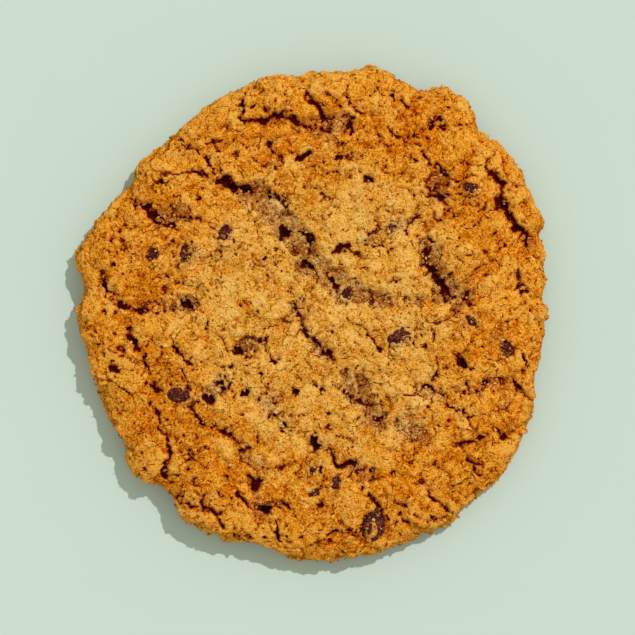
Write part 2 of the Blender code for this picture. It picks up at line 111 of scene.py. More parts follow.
# Cracks too fine for the CAD, by width: the points that each runs through.
FINE_CRACKS = {
    0.6: (((-13, 10), (-10.6, 10), (-8.6, 8.2), (-8, 6.2)),),
    0.7: (
        ((-24.8, 20), (-22.2, 19.4), (-20.6, 17.6)), ((-15.2, 22.6), (-13.8, 21.2), (-12.2, 20)),
        ((1.4, 26), (2.6, 24), (4.4, 21.8)), ((10.6, 14.6), (12.4, 14), (14.2, 14.2)),
        ((-22.4, -2.6), (-20, -4), (-19, -5.8), (-18, -7.4)),
    ),
    0.8: (
        ((-9.6, 36.4), (-8.8, 34.2), (-7.4, 33), (-6.4, 31.2)), ((-31.2, 5.2), (-29, 3.8), (-27, 3)),
        ((30.2, 39.2), (32.2, 39.6), (33.8, 38.8)), ((25.2, 24.2), (26.8, 22.8), (28.2, 21.4), (29.2, 20.4)),
        ((-9.4, -2.8), (-7.8, -2), (-6.2, -1.6)),
        ((-10.2, -10.8), (-11.2, -13), (-10.9, -15.4), (-11.2, -18)),
        ((-9, -31.6), (-6.8, -31.4), (-5.2, -31.6), (-3.6, -31.2)),
        ((-4.6, -35.2), (-6.4, -36.6), (-6.8, -38.4), (-5.4, -40)),
        ((25.2, -9.2), (25.4, -11.4), (24.6, -13.8)),
    ),
    0.9: (
        ((-27.2, 34.8), (-24.2, 34), (-22.6, 32.6), (-21.3, 31), (-20.3, 29.3)),
        ((-22.3, 35.2), (-20.8, 35.2), (-19.4, 35.8)),
        ((-31.5, 28.8), (-28, 29.2), (-24.6, 29.4), (-21.6, 28.6)),
        ((-34.2, 28.6), (-32.6, 27.4), (-30.8, 26.6)), ((-38.6, 24.4), (-37.2, 23), (-35.6, 22.8)),
        ((-32.4, 20.4), (-29.6, 20.6), (-27.2, 20.2)), ((-42.8, 5.4), (-41.4, 4.2), (-40.2, 2.6), (-38, 1.8)),
        ((6.8, 47.2), (7, 45.2), (8.4, 43), (10.2, 41.4)),
        ((15.2, 38.2), (17.4, 36.4), (19.4, 35.6), (22, 35.2)), ((16.4, 45.4), (17.6, 44.4), (19.2, 43.4)),
        ((22.6, 33.4), (23.6, 31.2), (25.4, 30.8), (27.6, 28.6), (29.2, 27.2)),
        ((33.9, 21.4), (34.9, 22), (35.9, 23.2)), ((22.4, 20.8), (19.8, 19.4), (18.9, 17.6), (19, 16.6)),
        ((31, 11.8), (32.8, 11.4), (34.4, 10.4)), ((15, 6.4), (16.4, 6.8), (18, 7)),
        ((-35.2, -8), (-34.4, -11), (-33.6, -12.6), (-33.6, -14.4)),
        ((-33.2, -19.4), (-31.8, -21), (-32.4, -23.4), (-30.8, -25.2)),
        ((-12.6, -5.4), (-10.8, -5.6), (-9.8, -7), (-8.6, -9.2)),
        ((-19.2, -11.8), (-17.8, -13.6), (-16.9, -15.4), (-16.6, -17.2)),
        ((-20.8, -41.2), (-19.8, -42.8), (-19, -44.2)), ((0, -14), (0.6, -15.6), (2, -16)),
        ((11, -4), (12.4, -5.8), (14, -7.6)), ((41, -12.6), (42, -14.4), (43.6, -16.4), (44.8, -18.4)),
        ((27, -18.6), (29, -19.4), (31.6, -20.8), (32.2, -22.6)),
        ((23.6, -36.2), (24.6, -38.2), (26.6, -39.8), (28.6, -41.2)),
        ((5.6, -16.2), (7.4, -17), (9.4, -18.2), (10.6, -19.6)),
    ),
    1: (
        ((42, 9), (42.8, 6.8), (43.4, 5)), ((-25.6, -18.4), (-24.2, -19.6), (-23.4, -21.8), (-22, -23.2)),
        ((-29.4, -5), (-28.6, -7.6), (-26.8, -8.8), (-25.4, -10.2)),
        ((-15.8, -36.6), (-15, -38.2), (-13.6, -39.4)),
        ((-29.6, -36.8), (-28, -38.6), (-25.8, -39.4), (-23.4, -40.2)),
        ((-8.2, -43), (-7.6, -45), (-7.4, -47.4)), ((19.6, -5.4), (21, -6), (22.8, -6.8)),
        ((18.4, -17), (20.2, -16.8), (22.6, -15.2), (24.6, -14.8), (26, -16.4), (27.4, -17.4)),
        ((35.6, -13.2), (35, -15.4), (34.2, -16)), ((30.2, -27.6), (31, -29.6), (33, -31.4), (34.4, -33.8)),
    ),
    1.1: (
        ((-15, 44.8), (-14.6, 42), (-15.5, 40.6), (-14.2, 39.4), (-12.8, 40.2)),
        ((-31.6, 19), (-30.2, 18), (-28.8, 18.2)), ((28.6, -8), (30.4, -9.6), (33, -11.6)),
        ((20.6, -41.6), (22.2, -42.2), (23.8, -43)),
    ),
    1.2: (
        ((36.4, 32.2), (35.8, 30.4), (37.4, 29.6)), ((24, 15.8), (23.2, 14.8), (22.8, 13.2)),
        ((10.9, -36.8), (12, -38.6), (13.6, -39.6), (14.2, -41.6)),
    ),
    1.3: (((43.2, -8.4), (43.8, -9.6), (43.2, -11.2)),),
}  # fmt: skip
STEEPNESS = 1.75  # depth of a fine crack for its width

RIM_SINK = 0.22  # the rim's relief stands this much further in, so that its tips end at the outline

# How the crust laps over a raisin: it lies this far over the raisin's edge, and this far under its middle.
LAP_OVER = 0.25
LAP_UNDER = 0.6
MOST_CLING = 0.7  # how far such crust may stand over the crust round it

# Raisins with little crust on and round them, and crumbly crust that lies on one: (x, y, radius).
BARE = ((12.6, -43.6, 4.6), (-28.1, -16.8, 3.2))
BARE_DIP = 0.8  # how far the crust round them sinks
PATCHES = ((11.4, -44.4, 1.9),)

# Oat flakes that show in the crust: (x, y, length, width, direction in degrees).
FLAKES = (
    (-18.3, -27.5, 4.6, 3.7, 100), (-11.5, 2.3, 3.8, 2.9, 40), (-16.2, -3.3, 3.4, 2.6, 120),
    (12.5, 9.8, 3.2, 2.5, 20), (0.5, 46.5, 4.4, 3.2, 0), (28.3, 26.5, 2.6, 1.8, 60),
    (36.5, 7.2, 3.6, 2.6, 80), (19.7, 8.5, 3.4, 2.4, 150), (-27, 23.5, 3.8, 2.8, 30),
)  # fmt: skip
FLAKES_MORE = 70  # fainter ones, anywhere
FLAKE_RISE = 0.34
LOOSE_FLAKES = 40  # that stand out of the crust

# Loose crumbs: (how many, (the smallest, the largest), seed of their random draws).
CRUST_CRUMBS = (3000, (0.3, 1.0), 3)
INNER_CRUMBS = (2200, (0.25, 0.9), 5)
RAISIN_CRUMBS = (400, (0.2, 0.7), 7)

# A raisin's mesh: points round it, and gaps between its rings from tip to tip.
RAISIN_AROUND = 72
RAISIN_RINGS = 44

# Where a raisin under the crust, or a broken patch, tints it: (x, y, radius).
STAINS = (
    (-25, 12.4, 3.6), (-36.5, 12.3, 2.6), (32, -1.6, 3.4), (31.5, 4.3, 2.6), (11.5, 16, 2.6), (17, 18, 3.2),
    (-11, -31, 3), (-11, -39, 3), (1.2, -39, 2.4), (37.5, -5.5, 2.6), (-9, -19, 3.6), (3, 38, 4),
    (32.4, 25, 3.4), (20, -23, 4.4), (30, -20, 3.4), (-5, 18, 3.4), (-36, 24, 3),
)  # fmt: skip

# The view: straight down, from far enough away to look flat.
LENS = 200.0
SENSOR = 36.0
VIEW_WIDTH = 132.3
VIEW_CENTRE = (0.73, -0.62)
VIEW_HEIGHT = 2.5  # the level at which the view is VIEW_WIDTH across

# The light, with its angles in degrees, and the floor.
SUN_STRENGTH = 2.4
SUN_COLOUR = (1.0, 0.98, 0.98)
SUN_WIDTH = 1.3  # across its disc
SUN_TURN = 49  # anticlockwise from +X
SUN_HEIGHT = 53  # over the horizon
FILL_STRENGTH = 0.72
FILL_COLOUR = (0.97, 1.0, 0.88, 1)
FLOOR_REACH = 1200.0

NOISE_GAIN = 1.7  # brings smooth noise to about -1 to 1
CORNERS = np.array(list(itertools.product((0, 1), repeat=3)))
NEIGHBOURS = np.array(list(itertools.product((-1, 0, 1), repeat=3)))


# ---- noise


def scramble(cells, layer):
    """A number from 0 to 1 for each whole-number cell, the same on every run. Each layer has its own."""
    cells = cells.astype(np.int64).astype(np.uint32)
    mixed = np.full(cells.shape[:-1], layer * 2654435761 % 2**32, np.uint32)
    for axis, factor in enumerate((0x8DA6B343, 0xD8163841, 0xCB1AB31F)):
        mixed ^= cells[..., axis] * np.uint32(factor)
    for shift, factor in ((16, 0x7FEB352D), (15, 0x846CA68B)):
        mixed = (mixed ^ (mixed >> np.uint32(shift))) * np.uint32(factor)
    return (mixed ^ (mixed >> np.uint32(16))) / 2**32


def soft_noise(points, wavelength, layer):
    """Smooth noise from about -1 to 1 at each point."""
    spots = points / wavelength
    base = np.floor(spots)
    inside = spots - base
    ease = inside**3 * (inside * (6 * inside - 15) + 10)
    total = np.zeros(len(points))
    for corner in CORNERS:
        weight = np.where(corner, ease, 1 - ease).prod(axis=1)
        slope = [scramble(base + corner, 3 * layer + axis) * 2 - 1 for axis in range(3)]
        total += weight * ((inside - corner) * np.stack(slope, axis=1)).sum(axis=1)
    return total * NOISE_GAIN


def cell_noise(points, size, layer):
    """Around scattered seeds: (distance to the nearest, gap to the next, the way from it, its own number)."""
    spots = points / size
    base = np.floor(spots)
    nearest = np.full(len(points), 9.0)
    second = nearest.copy()
    number = np.zeros(len(points))
    way = np.zeros_like(points)
    for neighbour in NEIGHBOURS:
        cell = base + neighbour
        place = cell + np.stack([scramble(cell, 5 * layer + axis) for axis in range(3)], axis=1)
        apart = np.linalg.norm(spots - place, axis=1)
        closer = apart < nearest
        second = np.where(closer, nearest, np.minimum(second, apart))
        number = np.where(closer, scramble(cell, 5 * layer + 3), number)
        way = np.where(closer[:, None], spots - place, way)
        nearest = np.minimum(nearest, apart)
    return nearest, second - nearest, way, number


def swayed(points, wavelength, sway, layer):
    """The points moved by smooth noise, so that what is looked up there comes out uneven."""
    push = [soft_noise(points, wavelength, layer + axis) for axis in range(3)]
    return points + sway * np.stack(push, axis=1)


def ramp(values, low, high):
    """0 below low, 1 above high, and smooth between."""
    share = np.clip((values - low) / (high - low), 0, 1)
    return share * share * (3 - 2 * share)


# ---- what the CAD gives


def solid_tree(*nodes):
    """The CAD nodes as one tree that rays can hit, in millimetres."""
    corners, faces = [], []
    for node in nodes:
        faces.extend([len(corners) + i for i in face.vertices] for face in node.data.polygons)
        corners.extend(vertex.co / MM for vertex in node.data.vertices)
    return BVHTree.FromPolygons(corners, faces)


def hits(tree, origins, ways):
    """Where each ray first meets the solid. A ray that slips through a seam takes the last ray's place."""
    found = []
    for origin, way in zip(origins.tolist(), ways.tolist()):
        place = tree.ray_cast(origin, way)[0]
        found.append(tuple(place) if place else found[-1])
    return np.array(found)


def outline_reach(tree, directions):
    """How far the dough reaches in each direction (in radians), along its widest level."""
    ways = np.stack([-np.cos(directions), -np.sin(directions), np.zeros(len(directions))], axis=1)
    origins = -ways * 2 * MAP_REACH + (0, 0, WIDEST_LEVEL)
    return np.linalg.norm(hits(tree, origins, ways)[:, :2], axis=1)


def blurred(field, radius):
    """The field averaged over a square twice, which is close to a round blur."""
    width = 2 * round(radius / MAP_STEP) + 1
    for axis in (0, 1, 0, 1):
        total = np.zeros_like(field)
        for shift in range(-(width // 2), width // 2 + 1):
            total += np.roll(field, shift, axis)
        field = total / width
    return field


def spread(field, width, pick):
    """Each cell takes the pick, such as the largest, of the square of that width around it."""
    half = round(width / 2 / MAP_STEP)
    for axis in (0, 1):
        best = field
        for shift in range(-half, half + 1):
            best = pick(best, np.roll(field, shift, axis))
        field = best
    return field


def map_cells():
    """The place (x, y) of each cell of a square map."""
    places = np.arange(-MAP_REACH, MAP_REACH + MAP_STEP / 2, MAP_STEP)
    return np.stack(np.meshgrid(places, places), axis=-1)


def height_map(tree):
    """The height of the solid's top over each cell of the map, and 0 beside it."""
    cells = map_cells()
    heights = np.zeros(cells.shape[:2])
    down = Vector((0, 0, -1))
    for row, column in np.argwhere(np.hypot(*cells.T).T < MAP_REACH).tolist():
        place = tree.ray_cast(Vector((*cells[row, column], RAY_START)), down)[0]
        if place:
            heights[row, column] = place.z
    return heights


def closed_over(heights, width):
    """The map with every hollow narrower than this filled level with its edges."""
    return spread(spread(heights, width, np.maximum), width, np.minimum)


def crust_maps(heights):
    """(how far cracks, holes, valleys and pockets go below the crust, how far its broad valleys alone do)."""
    filled = closed_over(heights, WIDEST_HOLE)
    inside = spread((filled > LEAST_CRUST).astype(float), 1.6, np.minimum)
    cut = np.clip(filled - heights - LEAST_CUT, 0, None) * inside
    valleys = np.clip(filled - closed_over(heights, WIDEST_CRACK), 0, 1) * inside
    return cut, blurred(valleys, 0.5)


def fine_crack_map():
    """How deep the fine cracks go in each cell of the map."""
    cells = map_cells()
    depth = np.zeros(cells.shape[:2])
    stretches = [
        (width, *ends)
        for width, courses in FINE_CRACKS.items()
        for course in courses
        for ends in itertools.pairwise(np.array(course))
    ]
    for width, start, end in stretches:
        along = end - start
        share = np.clip((cells - start) @ along / (along @ along), 0, 1)
        apart = np.linalg.norm(cells - start - share[..., None] * along, axis=-1)
        depth = np.maximum(depth, STEEPNESS * width * ramp(apart, width / 2.2, width / 8))
    return depth


def looked_up(field, points):
    """The map's value under each point, blended from the four cells round it."""
    spots = np.clip((points[:, 1::-1] + MAP_REACH) / MAP_STEP, 0, len(field) - 1.001)
    low = spots.astype(int)
    share = spots - low
    total = 0
    for corner in itertools.product((0, 1), repeat=2):
        row, column = (low + corner).T
        total = total + np.where(corner, share, 1 - share).prod(axis=1) * field[row, column]
    return total


# ---- the skin of the dough


def stitched(first, inner, second, outer):
    """Triangles between two rings of evenly spaced points, given each ring's first index and its count."""
    faces = []
    if inner > 1:
        i = np.arange(inner)
        j = -(-(i + 1) * outer // inner) - 1
        faces.append(np.stack([first + i, second + j % outer, first + (i + 1) % inner], axis=1))
    if outer > 1:
        j = np.arange(outer)
        i = (j + 1) * inner // outer
        faces.append(np.stack([first + i % inner, second + j, second + (j + 1) % outer], axis=1))
    return np.concatenate(faces)


def joined_rings(counts):
    """Triangles between rings of this many points each: an array for each gap from one ring to the next."""
    starts = np.concatenate([[0], np.cumsum(counts)])
    return [stitched(*pair) for pair in zip(starts, counts, starts[1:], counts[1:])]


def directions_of(count):
    """As many even turns round the middle, in radians."""
    return np.arange(count) * 2 * math.pi / count


def level_ring(radius, turns, height):
    """Points at this height, at these distances and turns from the middle."""
    return np.stack([radius * np.cos(turns), radius * np.sin(turns), np.full(len(turns), height)], axis=1)


def skin_rings(tree):
    """(rings of points on the CAD dough, each point's distance along the skin from the top's middle).

    The top's rays fall straight down. The rim's rays all aim at a line inside it, turning from upright to
    the edge of the underside, which is flat.
    """
    top_rings = round(TOP_RADIUS / SKIN_STEP)
    around = 6 * top_rings
    fine = directions_of(around)
    reach = outline_reach(tree, fine)
    shifts = range(-PIVOT_BLUR, PIVOT_BLUR + 1)
    pivot = sum(np.roll(reach, shift) for shift in shifts) / len(shifts) - PIVOT_INSET
    down = (0.0, 0.0, -1.0)
    rings = [hits(tree, np.array([[0.0, 0.0, RAY_START]]), np.array([down]))]
    travelled = [np.zeros(1)]
    for k in range(1, top_rings + 1):
        turns = directions_of(6 * k)
        radius = np.interp(turns, fine, pivot, period=math.tau) * k / top_rings
        rings.append(hits(tree, level_ring(radius, turns, RAY_START), np.tile(down, (6 * k, 1))))
        travelled.append(radius)
    last_lean = -math.atan2(PIVOT_HEIGHT, PIVOT_INSET - UNDERSIDE_INSET)
    rim_rings = round((math.pi / 2 - last_lean) * RIM_RADIUS / SKIN_STEP)
    level = np.stack([np.cos(fine), np.sin(fine)], axis=1)
    for k in range(1, rim_rings + 1):
        lean = math.pi / 2 + (last_lean - math.pi / 2) * k / rim_rings
        way = np.column_stack([level * -math.cos(lean), np.full(around, -math.sin(lean))])
        centre = np.column_stack([level * pivot[:, None], np.full(around, PIVOT_HEIGHT)])
        rings.append(hits(tree, centre - way * RAY_START, way))
        travelled.append(pivot + (math.pi / 2 - lean) * RIM_RADIUS)
    edge = np.linalg.norm(rings[-1][:, :2], axis=1)
    for share in np.linspace(1, 0, UNDERSIDE_RINGS)[1:]:
        count = max(1, round(around / 4 * share))
        turns = directions_of(count)
        radius = np.interp(turns, fine, edge, period=math.tau) * share
        rings.append(level_ring(radius, turns, 0.0))
        travelled.append(radius)
    return rings, travelled, top_rings + rim_rings


def smoothed(values, edges, rounds, held):
    """The values averaged with their neighbours' this many times, apart from those held."""
    ends, others = np.concatenate([edges, edges[:, ::-1]]).T
    number = np.bincount(ends, minlength=len(values))
    for _ in range(rounds):
        total = np.stack([np.bincount(ends, values[others, axis], len(values)) for axis in range(3)], axis=1)
        values = np.where(held[:, None], values, (values + total) / (1 + number)[:, None])
    return values


def normals_of(points, faces):
    """The way out at each point, which larger faces sway more."""
    sides = np.cross(points[faces[:, 1]] - points[faces[:, 0]], points[faces[:, 2]] - points[faces[:, 0]])
    total = np.zeros_like(points)
    for corner in range(3):
        for axis in range(3):
            total[:, axis] += np.bincount(faces[:, corner], sides[:, axis], len(points))
    return total / np.linalg.norm(total, axis=1)[:, None]


def wrap_skin(tree):
    """The plain skin as a dictionary of arrays: points, faces, normals, and where each point lies."""
    rings, travelled, last_upper = skin_rings(tree)
    counts = [len(ring) for ring in rings]
    gaps = joined_rings(counts)
    points = np.concatenate(rings)
    faces = np.concatenate(gaps)
    return {
        "points": points,
        "faces": faces,
        "travelled": np.concatenate(travelled),
        "turn": np.concatenate([directions_of(count) for count in counts]),
        "under": np.arange(len(points)) >= sum(counts[:last_upper]),
        "upper_faces": sum(len(gap) for gap in gaps[:last_upper]),
        "edges": np.unique(np.sort(faces[:, [0, 1, 1, 2, 2, 0]].reshape(-1, 2), axis=1), axis=0),
    }


def ragged_cut(field, fine, points):
    """The depth of cracks and holes at each point, with their edges torn and widened here and there."""
    place = points.copy()
    for layer, (wavelength, sway) in enumerate(RAGGED):
        place = swayed(place, wavelength, sway, 40 + 3 * layer)
    narrow = looked_up(np.maximum(field, fine), place)
    wide = looked_up(np.maximum(spread(field, TORN_WIDTH, np.maximum), fine), place)
    depth = narrow + (wide - narrow) * ramp(soft_noise(points, 1.6, 50), 0.0, 0.5)
    filled = 0.5 * ramp(soft_noise(points, 2.1, 53), 0.15, 0.5)
    filled += 0.3 * ramp(soft_noise(points, 1.1, 54), 0.0, 0.5)
    sunken = ramp(looked_up(blurred(np.minimum(field, 1), 0.9), place), 0.04, 0.6)
    return SUNKEN_EDGE * sunken + CUT_SHARE * depth * (1 - filled)


def torn_share(valleys, points):
    """1 where a valley has torn the crust away and 0 where the crust is whole, with a ragged edge between."""
    dip = looked_up(valleys, swayed(points, 2.4, 0.8, 120))
    uneven = 0.16 * soft_noise(points, 3.0, 123) + 0.16 * soft_noise(points, 1.3, 124)
    return ramp(dip + uneven, TEAR_DIP - 0.06, TEAR_DIP + 0.06)


def plate_relief(points):
    """Plates and clumps of crust: (their own levels, the seams' depth, nearness to one, the plate's tone)."""
    level, depth, near = np.zeros((3, len(points)))
    tones = []
    for layer, (size, step, tilt, width, deepest) in enumerate(PLATES):
        place = swayed(points, size / 2, size / 5, 60 + 6 * layer)
        place = swayed(place, size / 6, size / 16, 63 + 6 * layer)
        _, gap, way, number = cell_noise(place, size, 2 + layer)
        tones.append(number)
        lean = np.stack([np.sin(40 * number), np.cos(70 * number), np.sin(90 * number)], axis=1)
        level += step * (2 * number - 1) + tilt * (way * lean).sum(axis=1)
        open_here = soft_noise(points, size, 80 + layer)
        broken = ramp(soft_noise(points, 1.6, 85 + layer), -0.5, 0.4)
        depth = np.maximum(depth, deepest * ramp(gap, width, 0) * ramp(open_here, -0.12, 0.3) * broken)
        near = np.maximum(near, ramp(gap, 3 * width, width) * ramp(open_here, -0.4, 0.2))
    return level, depth, near, tones[0]


def grain_relief(points):
    """Rounded grains pressed together, with creases that wander between them."""
    total = np.zeros(len(points))
    for layer, (wavelength, height) in enumerate(GRAINS):
        total += height * (np.minimum(np.abs(soft_noise(points, wavelength, 90 + layer)), 0.6) - 0.22)
    return total


def pit_depth(points, likely):
    """Small holes between the grains, with more of them where they are likely."""
    depth = np.zeros(len(points))
    for layer, (spacing, width, deepest, open_share) in enumerate(PITS):
        near, _, _, number = cell_noise(swayed(points, 1.0, 0.5, 93), spacing, 7 + layer)
        wide = width * (0.4 + number)
        open_here = ramp(number + open_share + 0.35 * likely, 0.98, 1.04)
        depth = np.maximum(depth, deepest * ramp(near, wide, wide / 3) * open_here)
    return depth


def flake_places(reach):
    """The listed oat flakes, and more of them anywhere on the crust."""
    random = np.random.default_rng(11)
    more = []
    for _ in range(FLAKES_MORE):
        distance = (reach.mean() - 3) * math.sqrt(random.random())
        turn = random.uniform(0, math.tau)
        length = random.uniform(2.6, 4.6)
        place = (distance * math.cos(turn), distance * math.sin(turn))
        more.append((*place, length, length * random.uniform(0.6, 0.8), random.uniform(0, 180)))
    return FLAKES + tuple(more)


def flake_shape(points, flakes):
    """(height, mask) of the oat flakes baked into the crust: ovals with a crease along them."""
    height, mask = np.zeros((2, len(points)))
    wobble = 0.14 * soft_noise(points, 1.3, 95)
    for number, (x, y, length, width, direction) in enumerate(flakes):
        offset = points[:, :2] - (x, y)
        turn = math.radians(direction)
        along = (offset @ (math.cos(turn), math.sin(turn))) / (length / 2)
        across = (offset @ (-math.sin(turn), math.cos(turn))) / (width / 2)
        out = np.hypot(along, across) + wobble
        shown = 1.0 if number < len(FLAKES) else 0.55
        crease = 0.3 * ramp(np.abs(across), 0.16, 0) * ramp(np.abs(along), 0.8, 0.4)
        height = np.maximum(height, FLAKE_RISE * shown * (ramp(out, 1.05, 0.8) - crease))
        mask = np.maximum(mask, shown * ramp(out, 1.0, 0.75))
    return height, mask


def round_patches(points, patches):
    """1 within each (x, y, radius) patch and 0 beside them, with ragged edges."""
    mask = np.zeros(len(points))
    for x, y, radius in patches:
        distance = np.hypot(points[:, 0] - x, points[:, 1] - y)
        mask = np.maximum(mask, ramp(distance + 1.4 * soft_noise(points, 2.5, 97), radius, radius / 3))
    return mask


def over_raisins(points, raisins, grains):
    """The level at which crust clings to a raisin, and 0 away from raisins: high round its edge, and torn."""
    level = looked_up(spread(raisins, 1.0, np.maximum), points)
    depth_in = looked_up(blurred((raisins > 0).astype(float), 0.45), points)
    torn = 0.7 * soft_noise(points, 2.0, 101) + 0.6 * soft_noise(points, 0.8, 102)
    torn += 2.0 * round_patches(points, PATCHES) - 1.4 * round_patches(points, BARE) + 1.5 * grains
    lap = (LAP_OVER + LAP_UNDER) * ramp(depth_in, 0.95, 0.5) - LAP_UNDER
    return np.where(level > 1, level + torn + lap, 0)


def plain_crust(skin, field):
    """The skin's points with all cracks, holes and pockets filled level, and smoothed."""
    plain = skin["points"].copy()
    plain[:, 2] += np.where(skin["under"], 0, looked_up(field, plain))
    return smoothed(plain, skin["edges"], SMOOTHING_ROUNDS, skin["under"])


def crust_relief(plain, under, inset, rim, rough, whole, flakes):
    """(the crust's height over its plain shape, hollows, nearness to a seam, grains, plates' tone, oats)."""
    outer = ramp(inset, 34, 8)
    plates, seams, near_seam, plate_tone = plate_relief(plain)
    plates *= 0.7 + 0.4 * rough + 0.1 * rim
    seams *= 0.8 + 0.35 * outer
    grains = grain_relief(plain) * (0.6 + 0.6 * rough + 0.3 * near_seam)
    swells = sum(height * soft_noise(plain, wave, layer) for layer, (wave, height) in enumerate(SWELLS, 1))
    pits = pit_depth(plain, 0.3 * rough + 0.6 * near_seam + 0.15 * outer) * ~under
    flake_height, oat = flake_shape(plain, flakes)
    oat = oat * ~under * whole
    height = (plates + grains + swells) * (1 - 0.5 * oat) + flake_height * (oat > 0) - seams - pits
    height -= RIM_SINK * rim
    return height, seams + pits, near_seam, grains, plate_tone, oat


def roughened_skin(dough, raisins):
    """The skin with cracks, lumps, crumbs and pits, and the masks that colour it, painted shade and light
    among them.
    """
    skin = wrap_skin(dough)
    field, valleys = crust_maps(height_map(dough))
    fine = fine_crack_map()
    raisin_tops = height_map(raisins)
    raisin_map = (raisin_tops > 0).astype(float)
    under = skin["under"]
    plain = plain_crust(skin, field)
    normals = normals_of(plain, skin["faces"])
    steps = directions_of(OUTLINE_STEPS)
    edge = outline_reach(dough, steps)
    reach = np.interp(skin["turn"], steps, edge, period=math.tau)
    inset = reach - np.linalg.norm(plain[:, :2], axis=1)

    # How near the rim, how torn, how stained and how rough the crust is.
    rim = ramp(inset, 9, 1)
    torn = np.where(under, 0, torn_share(valleys, plain))
    near_cut = looked_up(blurred(np.minimum(field + fine, 1.5), 1.6), plain)
    stain = round_patches(plain, STAINS)
    uneven = ramp(soft_noise(plain, 9.0, 99), 0.15, 0.6)
    rough = np.maximum.reduce([ramp(near_cut, 0.05, 0.5), uneven, rim, stain, torn])

    # Its relief, flattened at the bottom of cracks and on the underside.
    cut = ragged_cut(field, fine, plain) + CRUST_THICKNESS * torn + BARE_DIP * round_patches(plain, BARE)
    cut = np.where(under, 0, cut)
    whole = ramp(cut, 0.4, 0.1)
    relief = crust_relief(plain, under, inset, rim, rough, whole, flake_places(edge))
    height, hollows, near_seam, grains, plate_tone, oat = relief
    height = np.where(under, np.abs(height) * 0.25, height * (1 - 0.4 * ramp(cut, 0.5, 2.0)))
    points = plain + normals * height[:, None]

    # Cracks, holes and pockets sink it, and crust clings to the edge of each raisin.
    in_pocket = looked_up(raisin_map, plain) > 0.5
    cut = np.maximum(cut, np.where(in_pocket & ~under, looked_up(field, plain), 0))
    cling = np.minimum(over_raisins(plain, raisin_tops, grains), points[:, 2] + MOST_CLING)
    points[:, 2] = np.maximum(points[:, 2] - cut, np.where(under, 0, cling))
    points[under, 2] = height[under]
    points[~under, 2] = np.maximum(points[~under, 2], LOWEST_EDGE)

    cut = np.minimum(cut, plain[:, 2] - points[:, 2])
    dip = np.where(under, 0, looked_up(valleys, plain))
    level = smoothed(points, skin["edges"], LEVEL_ROUNDS, under)
    near_raisin = looked_up(blurred(raisin_map, 1.2), plain)
    skin.update(
        points=points,
        normals=normals_of(points, skin["faces"]),
        # Depth below the crust: the material turns it into painted shade in cracks, holes and pits, and into
        # the inner crumb's colours.
        cut=cut - dip - CRUST_THICKNESS * torn + 0.8 * hollows,
        # How far each point lies below its smoothed surroundings: painted shade in hollows, painted light on
        # tips.
        cavity=((level - points) * normals).sum(axis=1),
        rim=np.where(under, 1, rim),
        baked=np.where(under, 1, 0.6 * ramp(inset, 30, 12) + 0.4 * ramp(inset, 9, 0)),
        rough=np.where(under, 0, np.clip(np.maximum(rough, near_seam) - rim, 0, 1)),
        plate=plate_tone,
        oat=oat,
        stain=np.maximum.reduce([stain, near_raisin, 0.7 * ramp(near_cut, 0.2, 0.9)]) * ~under,
        torn=torn,
    )
    return skin


# ---- loose crumbs and oat flakes


def ball_of_twenty():
    """(points, faces) of an icosahedron of radius 1."""
    long = (1 + math.sqrt(5)) / 2
    flat = np.array([(a, b * long, 0) for a in (-1, 1) for b in (-1, 1)])
    points = np.concatenate([flat, np.roll(flat, 1, axis=1), np.roll(flat, 2, axis=1)]) / math.hypot(1, long)
    apart = np.linalg.norm(points[:, None] - points, axis=2)
    near = (apart > 0.1) & (apart < 1.2)
    trios = itertools.combinations(range(12), 3)
    faces = np.array([(i, j, k) for i, j, k in trios if near[i, j] & near[j, k] & near[i, k]])
    inward = np.linalg.det(points[faces]) < 0
    faces[inward] = faces[inward, ::-1]
    return points, faces


def random_turns(random, count):
    """As many evenly spread rotation matrices."""
    quarters = random.normal(size=(4, count))
    w, x, y, z = quarters / np.linalg.norm(quarters, axis=0)
    rows = (
        (1 - 2 * (y * y + z * z), 2 * (x * y - z * w), 2 * (x * z + y * w)),
        (2 * (x * y + z * w), 1 - 2 * (x * x + z * z), 2 * (y * z - x * w)),
        (2 * (x * z - y * w), 2 * (y * z + x * w), 1 - 2 * (x * x + y * y)),
    )
    return np.moveaxis(np.array(rows), -1, 0)


def make_crumbs(name, skin, likely, kind, material):
    """Crumbs stuck to a surface, as one mesh: angular grains, most of them small."""
    count, (small, large), seed = kind
    random = np.random.default_rng(seed)
    ball, ball_faces = ball_of_twenty()
    spots = random.choice(len(likely), count, p=likely / likely.sum())
    radius = (small + (large - small) * random.random(count) ** 2.5) / 2
    shape = ball * random.uniform(0.45, 1.25, (count, 1, 3)) * random.uniform(0.5, 1.4, (count, 12, 1))
    shape = np.einsum("nij,nkj->nki", random_turns(random, count), shape) * radius[:, None, None]
    sway = random.uniform(-0.5, 0.5, (count, 3)) * SKIN_STEP
    centre = skin["points"][spots] + sway + skin["normals"][spots] * (radius * 0.1)[:, None]
    points = (shape + centre[:, None]).reshape(-1, 3)
    points[:, 2] = np.maximum(points[:, 2], LOWEST_CRUMB)
    faces = (ball_faces + 12 * np.arange(count)[:, None, None]).reshape(-1, 3)
    masks = {"tone": np.repeat(random.random(count), 12), "baked": np.repeat(skin["baked"][spots], 12)}
    piece = add_mesh(name, points, faces, material, masks)
    piece.data.shade_flat()
    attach(piece, "root")


